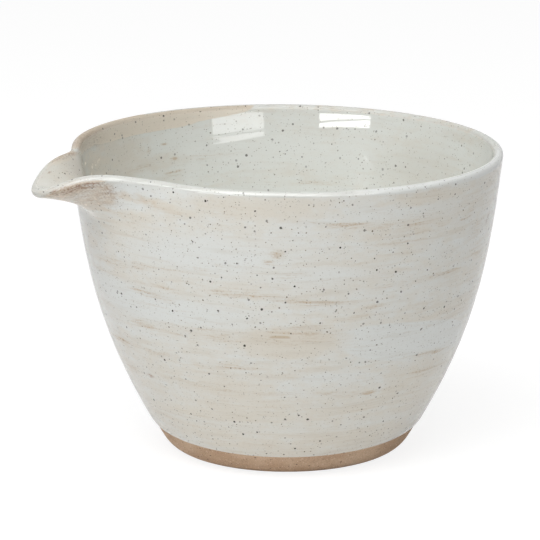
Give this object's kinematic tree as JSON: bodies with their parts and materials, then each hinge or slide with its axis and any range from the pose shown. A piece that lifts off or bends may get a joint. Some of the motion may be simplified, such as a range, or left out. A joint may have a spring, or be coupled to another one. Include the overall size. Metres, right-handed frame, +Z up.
{
  "type": "spouted bowl",
  "caption": "Deep stoneware pouring bowl with a pulled drooping spout, a round lip, a speckled brushed glaze inside and outside, and a bare clay foot.",
  "frame": {"origin": "the middle of the flat foot, on the plane that the bowl stands on, with the bowl's axis through it", "axes": "+Z up along the bowl's axis, the spout along -X, and +Y to its side"},
  "size_m": [0.2265, 0.1998, 0.1434],
  "materials": {
    "bare_stoneware": "matte unglazed buff-brown stoneware with fine dark specks",
    "outer_glaze": "glossy off-white glaze with soft beige brush streaks and iron specks",
    "liner_glaze": "glossy grey-white glaze with iron specks"
  },
  "bodies": {
    "root": {"clay_body": "bare_stoneware", "outer_glaze": "outer_glaze", "liner_glaze": "liner_glaze"}
  },
  "joints": []
}
